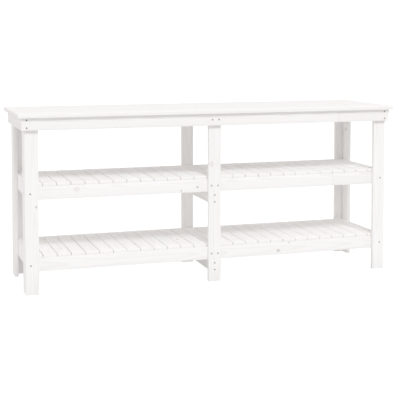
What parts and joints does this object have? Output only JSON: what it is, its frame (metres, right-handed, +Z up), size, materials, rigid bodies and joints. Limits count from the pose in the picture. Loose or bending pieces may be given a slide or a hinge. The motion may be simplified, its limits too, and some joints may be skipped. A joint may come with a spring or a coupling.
{
  "type": "potting bench",
  "caption": "Long, narrow potting bench of pale pine boards: a flat work surface on board legs, with deep aprons and full-length slatted storage shelves below.",
  "frame": {"origin": "on the floor, under the middle of the tabletop", "axes": "+X along the bench to the worker's right, +Y from the front to the back, +Z up"},
  "size_m": [1.806, 0.5, 0.8],
  "materials": {
    "tabletop_pine": "white-washed pine, satin, smooth sanded",
    "apron_pine": "white-washed pine, matt satin",
    "leg_pine": "white-washed pine, matt satin",
    "rail_pine": "white-washed pine with small knots, matt",
    "beam_pine": "white-washed pine, matt",
    "slat_pine": "white-washed pine, rough sawn edges, matt",
    "screw_steel": "dark coated countersunk wood screws"
  },
  "bodies": {
    "root": {"back_apron": "apron_pine", "back_centre_leg": "leg_pine", "back_left_leg_face_board": "leg_pine", "back_left_leg_side_board": "leg_pine", "back_right_leg_face_board": "leg_pine", "back_right_leg_side_board": "leg_pine", "front_apron": "apron_pine", "front_centre_leg": "leg_pine", "front_left_leg_face_board": "leg_pine", "front_left_leg_side_board": "leg_pine", "front_right_leg_face_board": "leg_pine", "front_right_leg_side_board": "leg_pine", "left_apron": "apron_pine", "lower_back_rail": "rail_pine", "lower_cross_beam": "beam_pine", "lower_front_rail": "rail_pine", "lower_left_rail": "rail_pine", "lower_right_rail": "rail_pine", "lower_slat_01": "slat_pine", "lower_slat_14": "slat_pine", "lower_slat_27": "slat_pine", "lower_slats_02_03": "slat_pine", "lower_slats_04_05": "slat_pine", "lower_slats_06_07": "slat_pine", "lower_slats_08_09": "slat_pine", "lower_slats_10_11": "slat_pine", "lower_slats_12_13": "slat_pine", "lower_slats_15_16": "slat_pine", "lower_slats_17_18": "slat_pine", "lower_slats_19_20": "slat_pine", "lower_slats_21_22": "slat_pine", "lower_slats_23_24": "slat_pine", "lower_slats_25_26": "slat_pine", "right_apron": "apron_pine", "tabletop_panel": "tabletop_pine", "top_cross_beam": "beam_pine", "upper_back_rail": "rail_pine", "upper_cross_beam": "beam_pine", "upper_front_rail": "rail_pine", "upper_left_rail": "rail_pine", "upper_right_rail": "rail_pine", "upper_slat_01": "slat_pine", "upper_slat_14": "slat_pine", "upper_slat_27": "slat_pine", "upper_slats_02_03": "slat_pine", "upper_slats_04_05": "slat_pine", "upper_slats_06_07": "slat_pine", "upper_slats_08_09": "slat_pine", "upper_slats_10_11": "slat_pine", "upper_slats_12_13": "slat_pine", "upper_slats_15_16": "slat_pine", "upper_slats_17_18": "slat_pine", "upper_slats_19_20": "slat_pine", "upper_slats_21_22": "slat_pine", "upper_slats_23_24": "slat_pine", "upper_slats_25_26": "slat_pine"}
  },
  "joints": []
}
